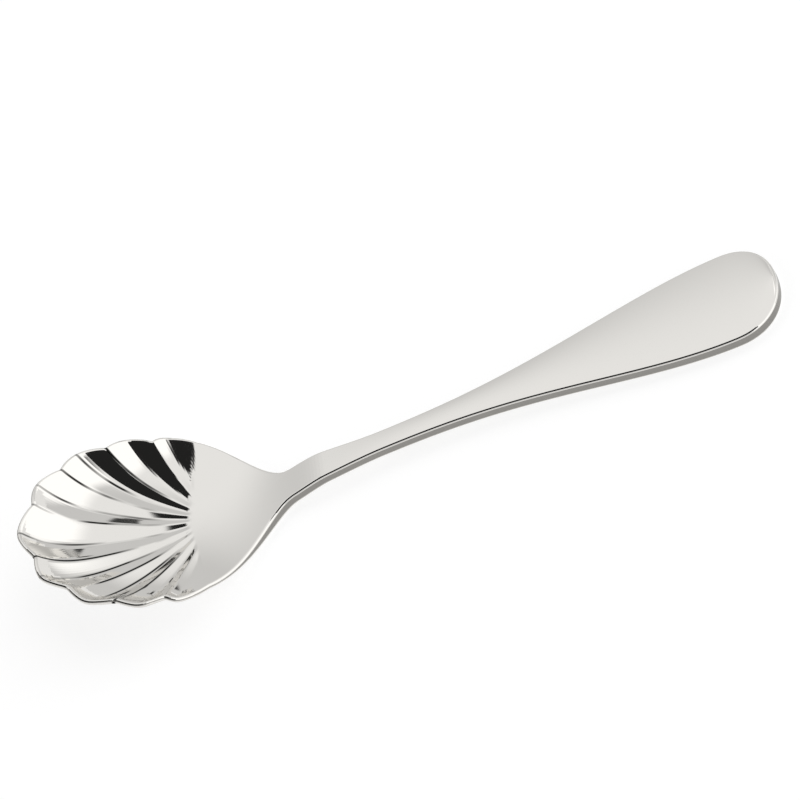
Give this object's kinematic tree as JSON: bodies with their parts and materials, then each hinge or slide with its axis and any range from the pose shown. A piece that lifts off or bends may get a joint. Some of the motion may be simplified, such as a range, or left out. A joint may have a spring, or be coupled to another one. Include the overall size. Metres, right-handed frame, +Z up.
{
  "type": "sugar spoon",
  "caption": "Sugar spoon with a dished shell bowl pressed into radiating flutes with a scalloped rim, and a plain flat handle that flares to a blunt round end.",
  "frame": {"origin": "on the table, below the middle of the spoon's box as it lies at rest", "axes": "+X along the spoon from the bowl to the handle's end, +Y across it, +Z up from the table"},
  "size_m": [0.1418, 0.0422, 0.0172],
  "materials": {
    "polished_steel": "polished"
  },
  "bodies": {
    "root": {"bowl": "polished_steel", "handle": "polished_steel"}
  },
  "joints": []
}
